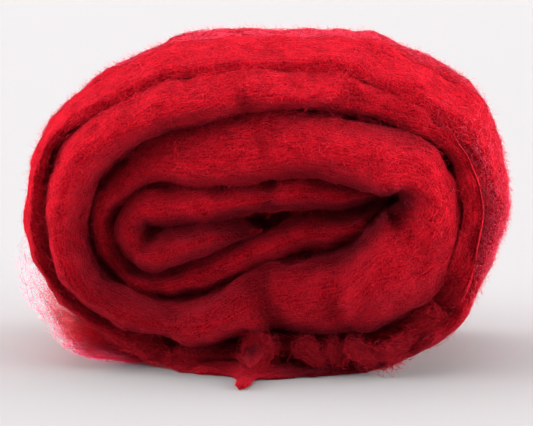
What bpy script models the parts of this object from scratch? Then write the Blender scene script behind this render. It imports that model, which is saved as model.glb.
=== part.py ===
"""A wound roll of carded wool roving, lying on its long side, with its frayed outer end loose.

One flat strip of wool starts at a tip beside the eye of the roll, folds round the eye and winds
outwards through four turns. Its last turn runs under the roll and comes out at the lower left,
where it frays into locks.

The origin is on the floor, in the middle of the flat spot that the roll rests on. X runs along
the long side of the oval, Y into the roll from its open spiral face, and Z up.
"""

import math
from collections import namedtuple

import bmesh
import bpy
import numpy as np

MM = 0.001

# ---------------------------------------------------------------- driving sizes (millimetres)

STRIP_WIDTH = 56.0  # depth of the roll, from its spiral face to its back
PARTING = 0.5  # gap left between one turn and the next
EYE = (-30.2, 37.6)  # left end of the spine that the strip is wound around, as X and Z
BEND = (29.2, 44.8)  # right end of the spine

RING_SPACING = 4.2  # between cuts across the strip, measured on its outer face
CLOSED_FOLD = 0.8  # radius inside the innermost folds, deep in the roll
CLOSING_RUN = 16.0  # depth over which the innermost turn closes on itself
CROWN_RISE = 1.5  # the outermost turn's top rises this much behind its front edge
CROWN_START = 55.0  # height from which the crown sets in, and by which it is whole
CROWN_WHOLE = 78.0
CROWN_RUN = 12.0  # depth over which it rises
FRONT_EDGE_POINTS = 9
BACK_EDGE_POINTS = 5
SIDE_POINTS = 2  # points on each broad face between the two rounded edges
SAMPLES_PER_SECTION = 20  # for measuring the strip's length
THINNEST_PARTING_SHARE = 0.2  # a thin strip is drawn in at each side by no more of its thickness

# How deep each turn's front edge is rounded off, turn 0 first, at its upper and its lower side, and
# how far its proudest line lies from its middle, as shares of half its thickness: outwards at the
# roll's sides, and downwards over its top, where it sags.
UPPER_ROUNDING = (7.0, 7.5, 7.5, 12.0)
LOWER_ROUNDING = (5.0, 6.5, 9.0, 0.8)
OUTWARD = (0.0, 0.1, 0.35, 0.0)
SAG = (0.2, 0.3, 0.2, 0.4)
ROUNDING_CHANGE = 0.12  # share of a turn over which one turn's rounding becomes the next one's
MOST_ROUNDING_SHARE = 2.4  # no rounding is deeper than this share of the strip's thickness
EDGE_FULLNESS = 2.0  # exponent of the rounded edges: 2 is a parabola, more is flatter
BACK_ROUNDING = 5.0
BACK_WAVE = 1.0  # the back edge wanders this much each way
BACK_WAVES_PER_SECTION = 0.9  # radians
THINNING_RUN = 1.2  # sections over which the strip thins out to its loose end
THIN_END = 0.5  # share of its thickness left there
END_SWEEP = 8.0  # its near edge sweeps back this far towards that end
END_SWEEP_RUN = 0.6  # sections over which it does
INNER_TAPER = 0.5  # share of its thickness lost at the front of the strip's inner end
INNER_TAPER_RUN = 0.8  # sections over which it regains it

# ---------------------------------------------------------------- the winding

# A section is a ray from the spine, where every turn is cut across. Turn 0 is the innermost.
#   foot     where the ray leaves the spine, as X and Z
#   heading  direction of the ray in the spiral face, degrees from +X towards +Z
#   seams    distances from the foot to the eye's wall, then to the outside of turns 0, 1, 2, 3
#            and, under the roll, of the last layer
#   setback  how far the front edge of turns 0, 1, 2, 3 and the last layer lies behind the
#            front of the strip; negative where the turn stands proud
#   fullness share of its rounding kept by turn 2's inner and outer edge and turn 3's inner edge
Section = namedtuple("Section", "name foot heading seams setback fullness")

SECTIONS = (
    Section("under tip", (-2.0, 39.9), 270, (0.0, 3.6, 12.9, 29.3, 37.6, 40.4), (12, 8, 1, 6, -1),
            (1, 1, 1)),
    Section("under core", (-17.0, 38.7), 270, (0.0, 7.9, 19.3, 31.7, 36.4, 39.2), (4, 8, -1, 7, 3),
            (1, 1, 1)),
    Section("under eye", EYE, 270, (3.0, 12.3, 19.2, 29.0, 35.3, 38.1), (4, 8, 0, 9, 6), (1, 1, 1)),
    Section("lower left", EYE, 225, (2.7, 10.9, 18.4, 27.6, 30.8), (5, 9, 1, 5), (1, 1, 0.7)),
    Section("left", EYE, 180, (2.0, 10.1, 17.6, 27.8, 33.0), (5, 9, 1, 4), (1, 1, 0.5)),
    Section("upper left", EYE, 135, (1.2, 9.2, 18.0, 32.2, 38.0), (5, 8, 0, 5), (1, 1, 0.2)),
    Section("over eye", EYE, 90, (0.4, 10.7, 23.8, 36.6, 42.9), (5, 5, -1, 6), (1, 1, 0.05)),
    Section("over core", (-17.0, 38.7), 90, (0.5, 9.9, 26.2, 38.2, 44.5), (5, 2, -1, 6), (1, 1, 0.05)),
    Section("over crease", (-4.5, 39.8), 90, (2.0, 9.9, 27.8, 38.8, 44.1), (5, 0, 0, 7), (1, 1, 0.05)),
    Section("over middle", (8.0, 40.7), 90, (2.9, 11.2, 27.6, 37.4, 43.5), (5, -1, 1, 8), (1, 1, 0.05)),
    Section("over wedge", (20.5, 42.0), 90, (0.5, 8.4, 24.1, 35.0, 41.5), (8, -2, 4, 9), (1, 0.6, 0.05)),
    Section("over bend", BEND, 90, (0.8, 3.6, 19.6, 28.1, 37.4), (14, -3, 7, 9), (0.7, 0.25, 0.05)),
    Section("upper right", BEND, 45, (0.8, 4.8, 19.4, 24.6, 33.9), (20, -2, 6, 8), (0.3, 0.05, 0.05)),
    Section("right", BEND, 0, (0.8, 4.8, 19.8, 24.9, 31.4), (22, -1, 3, 6), (0.05, 0.03, 0.03)),
    Section("lower right", BEND, -45, (0.8, 2.8, 23.6, 29.6, 34.1), (20, -1, 4, 7), (0.05, 0.03, 0.03)),
    Section("low right", BEND, -64, (0.8, 2.8, 27.0, 34.6, 38.0), (17, -2, 8, 5), (0.3, 0.2, 0.1)),
    Section("under bend", BEND, -90, (0.8, 2.8, 31.0, 39.6, 42.6), (14, -3, 9, 4), (0.8, 0.6, 0.3)),
    Section("under wedge", (20.5, 42.0), -90, (1.0, 9.5, 30.4, 39.4, 42.5), (10, -2, 9, 6),
            (1, 0.8, 0.6)),
    Section("under middle", (8.0, 40.7), -90, (0.0, 11.4, 29.8, 38.3, 41.2), (9, 0, 8, 1), (1, 1, 1)),
)

TURNS = 4
LAST_SECTION = TURNS * len(SECTIONS) + 2  # the strip ends under the eye, in its last layer

# Lumps and creases of the spiral face, by place in the face, reach each way and height.
Lump = namedtuple("Lump", "name x z reach_x reach_z height")

LUMPS = (
    Lump("upper mound", 29.0, 60.0, 9.0, 5.0, 3.0),
    Lump("mound over the wedge", 27.5, 49.0, 7.0, 3.5, 4.0),
    Lump("first lower lobe", -10.0, 16.0, 9.0, 6.0, 1.5),
    Lump("sunk middle of the lower lobes", 9.0, 22.0, 7.0, 8.0, -1.2),
    Lump("third lower lobe", 27.0, 24.0, 9.0, 8.0, 2.0),
    Lump("cleft between the lobes", -0.8, 19.0, 4.2, 8.0, -3.2),
    Lump("crease over the eye", -6.0, 70.0, 2.0, 5.0, -1.5),
    Lump("torn tuft", -3.2, 7.5, 2.6, 4.5, 6.0),
    Lump("foot of the torn tuft", -5.2, 1.5, 3.0, 3.5, 5.5),
    Lump("strands under the lobes", 15.0, 6.5, 6.0, 4.0, 2.5),
    Lump("curl under the bend", 36.0, 11.0, 6.0, 4.0, 3.0),
    Lump("lump of the third turn", 25.0, 74.5, 4.0, 3.2, 2.4),
)


def seam_points(closed=False):
    """The seam between the turns as one spiral of points in the face, inner turn first.

    closed gives the seam deep in the roll, where the innermost turn closes on itself.
    """
    points = []
    for turn in range(TURNS + 2):
        for section in SECTIONS:
            if turn >= len(section.seams):
                return np.array(points)
            angle = math.radians(section.heading)
            reach = section.seams[turn]
            if closed and turn == 0:
                reach = CLOSED_FOLD if section.foot in (EYE, BEND) else 0.0
            x, z = section.foot
            points.append((x + reach * math.cos(angle), z + reach * math.sin(angle)))
    return np.array(points)


def setbacks():
    """The front edge's setback at each section along the strip, inner end first."""
    values = []
    for turn in range(TURNS + 1):
        for section in SECTIONS:
            if turn < len(section.setback):
                values.append(section.setback[turn])
    return np.array(values, float)


def fullnesses():
    """The shares of their rounding that the inner and the outer edge keep along the strip."""
    whole = [1.0] * len(SECTIONS)
    first, second, third = zip(*(section.fullness for section in SECTIONS))
    return np.array([whole * 2 + list(first + third) + whole, whole * 2 + list(second) + whole * 2])


def smooth_at(values, t):
    """Catmull-Rom reading of a row of values at each place in t, which counts rows."""
    values = np.asarray(values, float)
    t = np.clip(np.asarray(t, float), 0, len(values) - 1)
    start = np.minimum(t.astype(int), len(values) - 2)
    u = t - start
    if values.ndim > 1:
        u = u[:, None]
    before = values[np.maximum(start - 1, 0)]
    here = values[start]
    there = values[start + 1]
    after = values[np.minimum(start + 2, len(values) - 1)]
    cubic = 3 * (here - there) + after - before
    square = 2 * before - 5 * here + 4 * there - after
    return here + 0.5 * u * (there - before + u * (square + u * cubic))


def by_turn(values, t):
    """One value for each turn, read along the strip and blended where a turn gives way to the next."""
    turn = np.arange(len(values))
    starts = turn + ROUNDING_CHANGE
    ends = turn + 1 - ROUNDING_CHANGE
    places = np.stack([starts, ends], axis=1).ravel() * len(SECTIONS)
    return np.interp(t, places, np.repeat(values, 2))


def lump_height(x, z):
    """How far the lumps lift the face at x, z."""
    total = np.zeros_like(x)
    for lump in LUMPS:
        far = ((x - lump.x) / lump.reach_x) ** 2 + ((z - lump.z) / lump.reach_z) ** 2
        total += lump.height * np.exp(-far)
    return total


def rounded_edge(points):
    """(across, inset) pairs round an edge, from the inner face to the outer one."""
    across = np.sin(np.linspace(-math.pi / 2, math.pi / 2, points))
    return across, np.abs(across) ** EDGE_FULLNESS


def ease(value):
    value = np.clip(value, 0, 1)
    return value * value * (3 - 2 * value)


def cut_places(seam):
    """Places of the cuts along the strip, counted in sections and evenly spaced in length."""
    fine = np.linspace(0, LAST_SECTION, LAST_SECTION * SAMPLES_PER_SECTION + 1)
    outer = smooth_at(seam, fine + len(SECTIONS))
    steps = np.linalg.norm(np.diff(outer, axis=0), axis=1)
    length = np.concatenate([[0], np.cumsum(steps)])
    count = int(length[-1] / RING_SPACING) + 2
    return np.interp(np.linspace(0, length[-1], count), length, fine)


def strip_rings():
    """Rings of points round the strip, one for each cut across it, in millimetres."""
    seam = seam_points()
    closed_seam = seam_points(closed=True)
    t = cut_places(seam)
    inner = smooth_at(seam, t)
    closed_inner = smooth_at(closed_seam, t)
    outer = smooth_at(seam, t + len(SECTIONS))
    thickness = np.linalg.norm(outer - inner, axis=1)
    facing_up = (outer - inner)[:, 1] / thickness
    most = MOST_ROUNDING_SHARE * thickness
    upper = by_turn(UPPER_ROUNDING, t)
    lower = by_turn(LOWER_ROUNDING, t)
    inner_rounding = np.minimum(lower + (upper - lower) * (1 - facing_up) / 2, most)
    outer_rounding = np.minimum(lower + (upper - lower) * (1 + facing_up) / 2, most)
    inner_kept, outer_kept = fullnesses()
    inner_rounding = inner_rounding * smooth_at(inner_kept, t)
    outer_rounding = outer_rounding * smooth_at(outer_kept, t)
    back_rounding = np.minimum(BACK_ROUNDING, most / 4)
    proudest = by_turn(OUTWARD, t) * (1 - abs(facing_up)) - by_turn(SAG, t) * facing_up.clip(0)
    thinned = THIN_END + (1 - THIN_END) * ease((LAST_SECTION - t) / THINNING_RUN)[:, None]
    inner = outer + (inner - outer) * thinned
    closed_inner = outer + (closed_inner - outer) * thinned
    tapered = 1 - INNER_TAPER * (1 - ease(t / INNER_TAPER_RUN)[:, None])
    inner = outer + (inner - outer) * tapered
    inset = np.minimum(PARTING / 2, THINNEST_PARTING_SHARE * thickness)
    front = -STRIP_WIDTH / 2 + smooth_at(setbacks(), t)
    front = front + END_SWEEP * (1 - ease((LAST_SECTION - t) / END_SWEEP_RUN))
    back = STRIP_WIDTH / 2 - BACK_WAVE - BACK_WAVE * np.sin(BACK_WAVES_PER_SECTION * t)
    outermost = (t >= (TURNS - 1) * len(SECTIONS)) & (t < TURNS * len(SECTIONS))
    side = np.linspace(0, 1, SIDE_POINTS + 2)[1:-1]
    columns = []

    def add(across, depth, frontness):
        closing = ease((depth - front) / CLOSING_RUN)[:, None]
        near = inner + closing * (closed_inner - inner)
        step = outer - near
        length = np.linalg.norm(step, axis=1)
        reach = proudest * (1 - abs(across)) + across
        share = 0.5 + reach * (0.5 - inset / length)
        x, z = (near + step * share[:, None]).T
        depth = depth - lump_height(x, z) * frontness
        crown = ease((z - CROWN_START) / (CROWN_WHOLE - CROWN_START))
        crown = crown * ease((depth - front) / CROWN_RUN)
        z = z + CROWN_RISE * crown * outermost * max(across, 0)
        columns.append(np.stack([x, depth, np.maximum(z, 0.0)], axis=1))

    for across, inset_share in zip(*rounded_edge(FRONT_EDGE_POINTS)):
        rounding = inner_rounding if across < 0 else outer_rounding
        add(across, front + rounding * inset_share, 1 - 0.5 * inset_share)
    for share in side:
        start = front + outer_rounding
        add(1.0, start + share * (back - back_rounding - start), 0.0)
    for across, inset_share in zip(*(row[::-1] for row in rounded_edge(BACK_EDGE_POINTS))):
        add(across, back - back_rounding * inset_share, 0.0)
    for share in side[::-1]:
        start = front + inner_rounding
        add(-1.0, start + share * (back - back_rounding - start), 0.0)
    return np.stack(columns, axis=1)


# ---------------------------------------------------------------- meshes and materials


def wool_material(name, colour, roughness):
    material = bpy.data.materials.new(name)
    material.use_nodes = True
    shader = material.node_tree.nodes["Principled BSDF"]
    shader.inputs["Base Color"].default_value = (*colour, 1)
    shader.inputs["Roughness"].default_value = roughness
    shader.inputs["Metallic"].default_value = 0
    return material


def object_from(name, build, material):
    """A mesh object named name, whose bmesh the function build fills in."""
    mesh = bpy.data.meshes.new(name)
    shape = bmesh.new()
    build(shape)
    bmesh.ops.recalc_face_normals(shape, faces=shape.faces)
    shape.to_mesh(mesh)
    shape.free()
    mesh.shade_smooth()
    mesh.materials.append(material)
    made = bpy.data.objects.new(name, mesh)
    bpy.context.scene.collection.objects.link(made)
    return made


def build_strip(shape):
    rings = strip_rings() * MM
    rows = [[shape.verts.new(point) for point in ring] for ring in rings]
    around = len(rows[0])
    for first, second in zip(rows, rows[1:]):
        for i in range(around):
            k = (i + 1) % around
            shape.faces.new((first[i], first[k], second[k], second[i]))
    shape.faces.new(rows[0])
    shape.faces.new(rows[-1])


# ---------------------------------------------------------------- the loose end

# The frayed end fans out between two streams of fibre: the near one falls low and the far one
# hugs the roll. Rows run from the root under the roll to the tips.
Stream = namedtuple("Stream", "near_x near_z far_x far_z")

STREAMS = (
    Stream(-30.6, 0.6, -30.6, 1.1),
    Stream(-38.6, 1.4, -38.0, 2.0),
    Stream(-46.8, 3.8, -46.0, 6.2),
    Stream(-54.4, 8.2, -53.4, 14.0),
    Stream(-60.2, 15.2, -59.5, 21.2),
    Stream(-63.4, 23.0, -63.4, 29.5),
    Stream(-64.6, 32.0, -65.8, 38.5),
)
LOOSE_FRONT = -24.0  # Y of the near stream
LOOSE_BACK = 18.0  # Y of the far stream
BACKING_SHARE = 0.4  # share of the streams' length that is still whole cloth
BACKING_ROWS = 5
BACKING_THICKNESS = 1.4
LOCKS = 36
LOCK_SHARE = 0.6  # a lock's width as a share of its place
LOCK_ROWS = 4
TIP_SIZE = 0.35  # a lock's width and thickness at its tip, as a share of its root's
LOCK_REACH = 0.86  # share of the streams' length that the locks reach, on the whole
# The locks' ends swing about that: size, and radians from one lock to the next and at the first.
LOCK_SWINGS = ((0.09, 2.4, 0.0), (0.05, 5.1, 1.0))
TANGENT_STEP = 0.01  # share of the streams' length, or of the way over, for reading a slope


def loose_point(along, over):
    """A point of the loose end's middle surface: along the streams, over from near to far."""
    row = np.array([along * (len(STREAMS) - 1)])
    near_x, near_z, far_x, far_z = smooth_at(np.array(STREAMS), row)[0]
    return np.array(
        [
            near_x + over * (far_x - near_x),
            LOOSE_FRONT + over * (LOOSE_BACK - LOOSE_FRONT),
            near_z + over * (far_z - near_z),
        ]
    )


def loose_frame(along, over):
    """The point there, and the unit normal of the surface."""
    step = TANGENT_STEP
    point = loose_point(along, over)
    forward = loose_point(min(along + step, 1), over) - loose_point(max(along - step, 0), over)
    sideways = loose_point(along, over + step) - loose_point(along, over - step)
    normal = np.cross(forward, sideways)
    return point, normal / np.linalg.norm(normal)


def lock_end(index):
    """How far along the streams a lock reaches: an uneven, repeating fringe."""
    return LOCK_REACH + sum(size * math.sin(step * index + at) for size, step, at in LOCK_SWINGS)


def build_loose_end(shape):
    """A thin backing whose outer edge carries the locks, each drawn out of its own end face."""
    place = 1.0 / LOCKS
    edges = [0.0]
    for index in range(LOCKS):
        start = (index + 0.5 - LOCK_SHARE / 2) * place
        edges += [start, start + LOCK_SHARE * place]
    edges.append(1.0)

    def pair(along, over, thickness):
        point, normal = loose_frame(along, over)
        half = normal * thickness / 2
        return [shape.verts.new((point + side * half) * MM) for side in (1, -1)]

    rows = [
        [pair(BACKING_SHARE * r / BACKING_ROWS, over, BACKING_THICKNESS) for over in edges]
        for r in range(BACKING_ROWS + 1)
    ]
    for first, second in zip(rows, rows[1:]):
        for c in range(len(edges) - 1):
            for side in (0, 1):
                near = (first[c][side], first[c + 1][side])
                shape.faces.new((*near, second[c + 1][side], second[c][side]))
        for c in (0, len(edges) - 1):
            shape.faces.new((first[c][0], second[c][0], second[c][1], first[c][1]))
    for c in range(len(edges) - 1):
        # The first row is closed all along; the last one only between the locks.
        for row in (rows[0], rows[-1]) if c % 2 == 0 else (rows[0],):
            shape.faces.new((row[c][0], row[c + 1][0], row[c + 1][1], row[c][1]))

    for index in range(LOCKS):
        left, right = 2 * index + 1, 2 * index + 2
        middle = (index + 0.5) * place
        before = [rows[-1][left][0], rows[-1][right][0], rows[-1][right][1], rows[-1][left][1]]
        for r in range(1, LOCK_ROWS + 1):
            share = r / LOCK_ROWS
            size = 1 + (TIP_SIZE - 1) * share
            along = BACKING_SHARE + share * (lock_end(index) - BACKING_SHARE)
            half = LOCK_SHARE * place * size / 2
            near = pair(along, middle - half, BACKING_THICKNESS * size)
            far = pair(along, middle + half, BACKING_THICKNESS * size)
            after = [near[0], far[0], far[1], near[1]]
            for i in range(4):
                k = (i + 1) % 4
                shape.faces.new((before[i], before[k], after[k], after[i]))
            before = after
        shape.faces.new(before)


def main():
    for old in list(bpy.data.objects):
        bpy.data.objects.remove(old, do_unlink=True)
    crimson = wool_material("crimson wool", (0.42, 0.006, 0.016), 0.95)
    pale_crimson = wool_material("thinned crimson wool", (0.5, 0.03, 0.05), 0.95)
    object_from("roving_roll", build_strip, crimson)
    object_from("loose_end", build_loose_end, pale_crimson)


main()
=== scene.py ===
"""The looks of a wound roll of carded wool roving that lies on its long side, its frayed end loose.

Lengths are in millimetres and become metres where a mesh is made. X runs along the oval of the
roll, Y into it from its open spiral face, and Z up from the floor.
"""

import itertools
import math
from collections import namedtuple

import bpy
import numpy as np
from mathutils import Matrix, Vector


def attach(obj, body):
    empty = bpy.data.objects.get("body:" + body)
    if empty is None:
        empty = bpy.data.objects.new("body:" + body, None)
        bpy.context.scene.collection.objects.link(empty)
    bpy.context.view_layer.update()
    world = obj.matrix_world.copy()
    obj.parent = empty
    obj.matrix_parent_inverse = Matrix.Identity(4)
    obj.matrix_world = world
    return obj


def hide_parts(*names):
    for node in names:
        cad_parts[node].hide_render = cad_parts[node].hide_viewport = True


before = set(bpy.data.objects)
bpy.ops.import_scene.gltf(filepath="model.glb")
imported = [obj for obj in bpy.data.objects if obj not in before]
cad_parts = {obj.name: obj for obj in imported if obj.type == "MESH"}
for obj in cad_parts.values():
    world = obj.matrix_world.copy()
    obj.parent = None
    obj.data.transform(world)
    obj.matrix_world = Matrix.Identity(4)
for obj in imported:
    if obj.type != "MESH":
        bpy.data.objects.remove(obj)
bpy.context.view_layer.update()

MM = 0.001

# ---------------------------------------------------------------- the winding's sizes

STRIP_WIDTH = 56.0  # depth of the roll, from its spiral face to its back
PRESSED = 0.3  # one turn's wool presses this far into the next one's
EYE = (-30.2, 37.6)  # left end of the spine that the strip is wound around, as X and Z
BEND = (29.2, 44.8)  # right end of the spine
CLOSED_FOLD = 0.8  # radius inside the innermost folds, deep in the roll
CLOSING_RUN = 16.0  # depth over which the innermost turn closes on itself
CROWN_RISE = 1.5  # the outermost turn's top rises this much behind its front edge
CROWN_START = 55.0  # height from which the crown sets in, and by which it is whole
CROWN_WHOLE = 78.0
CROWN_RUN = 12.0  # depth over which it rises
# How deep each turn's front edge is rounded off, turn 0 first, at its upper and its lower side, and
# how far its proudest line lies from its middle, as shares of half its thickness: outwards at the
# roll's sides, and downwards over its top, where it sags.
UPPER_ROUNDING = (7.0, 7.5, 7.5, 12.0)
LOWER_ROUNDING = (5.0, 6.5, 9.0, 0.8)
OUTWARD = (0.0, 0.1, 0.35, 0.0)
SAG = (0.2, 0.3, 0.2, 0.4)
ROUNDING_CHANGE = 0.12  # share of a turn over which one turn's rounding becomes the next one's
BACK_ROUNDING = 5.0
MOST_ROUNDING_SHARE = 2.4  # no rounding is deeper than this share of the strip's thickness
BACK_SHARE_OF_MOST = 0.25  # and the back's no deeper than this share of that
EDGE_FULLNESS = 2.0  # exponent of the rounded edges: 2 is a parabola, more is flatter
CREASE_REACH = 2.4  # the painted shade of a crease spreads this far over the turns at its sides
UNDER_REACH = 4.2  # and this much further under the roll, on what turns 2 and 3 hang over
EYE_WALL_SHADE = 0.9  # of the crease round the eye
RELIEF_SHADED = 5.0  # a crease this deep in the face is wholly in painted shade
INNER_END_SHADE = 0.9  # painted shade on the strip's inner end, pressed between the turns
INNER_END_RUN = 0.9  # sections over which that painted shade fades
INNER_TAPER = 0.85  # share of its thickness lost at the strip's inner end
INNER_TAPER_RUN = 0.8  # sections over which it regains it
BACK_WAVE = 1.0  # the back edge wanders this much each way
BACK_WAVES_PER_SECTION = 0.9  # radians
THINNING_RUN = 1.2  # sections over which the strip thins out to its loose end
THIN_END = 0.15  # share of its thickness left there
SAMPLES_PER_SECTION = 20  # for measuring its length
END_SWEEP = 10.0  # its near edge sweeps back this far towards that end
END_SWEEP_RUN = 0.6  # sections over which it does

# A section is a ray from the spine, where every turn is cut across. Turn 0 is the innermost.
#   foot     where the ray leaves the spine, as X and Z
#   heading  direction of the ray in the spiral face, degrees from +X towards +Z
#   seams    distances from the foot to the eye's wall, then to the outside of turns 0, 1, 2, 3
#            and, under the roll, of the last layer
#   setback  how far the front edge of turns 0, 1, 2, 3 and the last layer lies behind the
#            front of the strip; negative where the turn stands proud
#   shades   painted shade in the creases outside turns 0, 1 and 2, from 0 to 1
#   fullness share of its rounding kept by turn 2's inner and outer edge and turn 3's inner edge
Section = namedtuple("Section", "name foot heading seams setback shades fullness")

SECTIONS = (
    Section("under tip", (-2.0, 39.9), 270, (0.0, 3.6, 12.9, 29.3, 37.6, 40.4), (12, 8, 1, 6, -1),
            (0.7, 0.6, 1.0), (1, 1, 1)),
    Section("under core", (-17.0, 38.7), 270, (0.0, 7.9, 19.3, 31.7, 36.4, 39.2), (4, 8, -1, 7, 3),
            (0.7, 0.5, 0.9), (1, 1, 1)),
    Section("under eye", EYE, 270, (3.0, 12.3, 19.2, 29.0, 35.3, 38.1), (4, 8, 0, 9, 6),
            (0.7, 0.6, 0.4), (1, 1, 1)),
    Section("lower left", EYE, 225, (2.7, 10.9, 18.4, 27.6, 30.8), (5, 9, 1, 5),
            (0.6, 0.6, 0.15), (1, 1, 0.7)),
    Section("left", EYE, 180, (2.0, 10.1, 17.6, 27.8, 33.0), (5, 9, 1, 4),
            (0.45, 0.6, 0.1), (1, 1, 0.5)),
    Section("upper left", EYE, 135, (1.2, 9.2, 18.0, 32.2, 38.0), (5, 8, 0, 5),
            (0.4, 0.6, 0.1), (1, 1, 0.2)),
    Section("over eye", EYE, 90, (0.4, 10.7, 23.8, 36.6, 42.9), (5, 5, -1, 6),
            (0.45, 0.5, 0.1), (1, 1, 0.05)),
    Section("over core", (-17.0, 38.7), 90, (0.5, 9.9, 26.2, 38.2, 44.5), (5, 2, -1, 6),
            (0.4, 0.4, 0.05), (1, 1, 0.05)),
    Section("over crease", (-4.5, 39.8), 90, (2.0, 9.9, 27.8, 38.8, 44.1), (5, 0, 0, 7),
            (0.5, 0.35, 0.05), (1, 1, 0.05)),
    Section("over middle", (8.0, 40.7), 90, (2.9, 11.2, 27.6, 37.4, 43.5), (5, -1, 1, 8),
            (0.6, 0.4, 0.05), (1, 1, 0.05)),
    Section("over wedge", (20.5, 42.0), 90, (0.5, 8.4, 24.1, 35.0, 41.5), (8, -2, 4, 9),
            (0.8, 0.5, 0.05), (1, 0.6, 0.05)),
    Section("over bend", BEND, 90, (0.8, 3.6, 19.6, 28.1, 37.4), (14, -3, 7, 9),
            (0.9, 0.75, 0.05), (0.7, 0.25, 0.05)),
    Section("upper right", BEND, 45, (0.8, 4.8, 19.4, 24.6, 33.9), (20, -2, 6, 8),
            (1.0, 0.3, 0.1), (0.3, 0.05, 0.05)),
    Section("right", BEND, 0, (0.8, 4.8, 19.8, 24.9, 31.4), (22, -1, 3, 6),
            (1.0, 0.0, 0.0), (0.05, 0.03, 0.03)),
    Section("lower right", BEND, -45, (0.8, 2.8, 23.6, 29.6, 34.1), (20, -1, 4, 7),
            (1.0, 0.0, 0.0), (0.05, 0.03, 0.03)),
    Section("low right", BEND, -64, (0.8, 2.8, 27.0, 34.6, 38.0), (17, -2, 8, 5),
            (1.0, 0.5, 0.5), (0.3, 0.2, 0.1)),
    Section("under bend", BEND, -90, (0.8, 2.8, 31.0, 39.6, 42.6), (14, -3, 9, 4),
            (1.0, 1.0, 1.0), (0.8, 0.6, 0.3)),
    Section("under wedge", (20.5, 42.0), -90, (1.0, 9.5, 30.4, 39.4, 42.5), (10, -2, 9, 6),
            (1.0, 1.0, 1.0), (1, 0.8, 0.6)),
    Section("under middle", (8.0, 40.7), -90, (0.0, 11.4, 29.8, 38.3, 41.2), (9, 0, 8, 1),
            (0.7, 1.0, 1.0), (1, 1, 1)),
)

TURNS = 4
LAST_SECTION = TURNS * len(SECTIONS) + 2  # the strip ends under the eye, in its last layer

# Lumps and creases of the spiral face, by place in the face, reach each way and height.
Lump = namedtuple("Lump", "name x z reach_x reach_z height")

LUMPS = (
    Lump("upper mound", 29.0, 60.0, 9.0, 5.0, 3.0),
    Lump("mound over the wedge", 27.5, 49.0, 7.0, 3.5, 4.0),
    Lump("first lower lobe", -10.0, 16.0, 9.0, 6.0, 1.5),
    Lump("sunk middle of the lower lobes", 9.0, 22.0, 7.0, 8.0, -1.2),
    Lump("third lower lobe", 27.0, 24.0, 9.0, 8.0, 2.0),
    Lump("crease over the eye", -6.0, 70.0, 2.0, 5.0, -1.5),
    Lump("curl under the bend", 36.0, 11.0, 6.0, 4.0, 3.0),
    Lump("lump of the third turn", 25.0, 74.5, 4.0, 3.2, 2.4),
    Lump("hollow beside that lump", 20.5, 75.0, 1.8, 2.4, -1.6),
)

# Narrow ridges and creases of that face, from one place in it to another.
Ridge = namedtuple("Ridge", "name x1 z1 x2 z2 reach height")

RIDGES = (
    Ridge("slanted ridge of the third turn", 8.0, 71.0, 20.0, 76.5, 1.4, 1.6),
    Ridge("trough under that ridge", 11.0, 68.5, 22.0, 72.0, 1.6, -1.4),
    Ridge("crease down the second turn", -2.0, 63.0, 0.5, 50.0, 1.8, -1.0),
    Ridge("cleft between the lobes", -1.5, 25.0, 0.0, 13.5, 4.2, -3.2),
    Ridge("crease between the right lobes", 20.5, 33.0, 17.8, 18.0, 3.2, -1.8),
    Ridge("torn tuft", -2.2, 10.5, -4.0, 5.0, 2.6, 6.0),
    Ridge("foot of the torn tuft", -4.0, 4.5, -5.8, 0.0, 2.0, 9.0),
    Ridge("first strand under the lobes", 9.0, 7.0, 13.0, 3.0, 2.2, 3.5),
    Ridge("second strand under the lobes", 15.6, 7.0, 18.0, 3.0, 2.0, 3.0),
    Ridge("third strand under the lobes", 21.0, 7.0, 29.0, 5.0, 2.2, 3.0),
    Ridge("curled strand at the right", 36.0, 15.5, 41.5, 11.0, 1.6, 3.0),
)


# ---------------------------------------------------------------- shared arithmetic


def smooth_at(values, t):
    """Catmull-Rom reading of a row of values at each place in t, which counts rows."""
    values = np.asarray(values, float)
    t = np.clip(np.asarray(t, float), 0, len(values) - 1)
    start = np.minimum(t.astype(int), len(values) - 2)
    u = t - start
    if values.ndim > 1:
        u = u[:, None]
    before = values[np.maximum(start - 1, 0)]
    here = values[start]
    there = values[start + 1]
    after = values[np.minimum(start + 2, len(values) - 1)]
    cubic = 3 * (here - there) + after - before
    square = 2 * before - 5 * here + 4 * there - after
    return here + 0.5 * u * (there - before + u * (square + u * cubic))


def ease(value):
    value = np.clip(value, 0, 1)
    return value * value * (3 - 2 * value)


def unit(vectors):
    return vectors / np.maximum(np.linalg.norm(vectors, axis=-1, keepdims=True), 1e-9)


def lattice(cells, seed):
    """A repeatable value from 0 to 1 for each whole-numbered cell."""
    mixed = (cells * np.array([73856093, 19349663, 83492791])).sum(axis=-1) + seed * 40503
    mixed = (mixed ^ (mixed >> 13)) * 1274126177
    mixed = mixed ^ (mixed >> 16)
    return (mixed & 0xFFFFFF) / 0xFFFFFF


def noise(places, seed):
    """Smooth lattice noise from -1 to 1 at each place, with one cell to the unit."""
    cells = np.floor(places).astype(np.int64)
    part = places - cells
    part = part * part * (3 - 2 * part)
    total = 0.0
    for corner in itertools.product((0, 1), repeat=3):
        weight = np.prod(np.where(corner, part, 1 - part), axis=-1)
        total = total + weight * lattice(cells + np.array(corner), seed)
    return 2 * total - 1


def stacked(*parts):
    return np.stack(np.broadcast_arrays(*parts), axis=-1)


# ---------------------------------------------------------------- meshes


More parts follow.
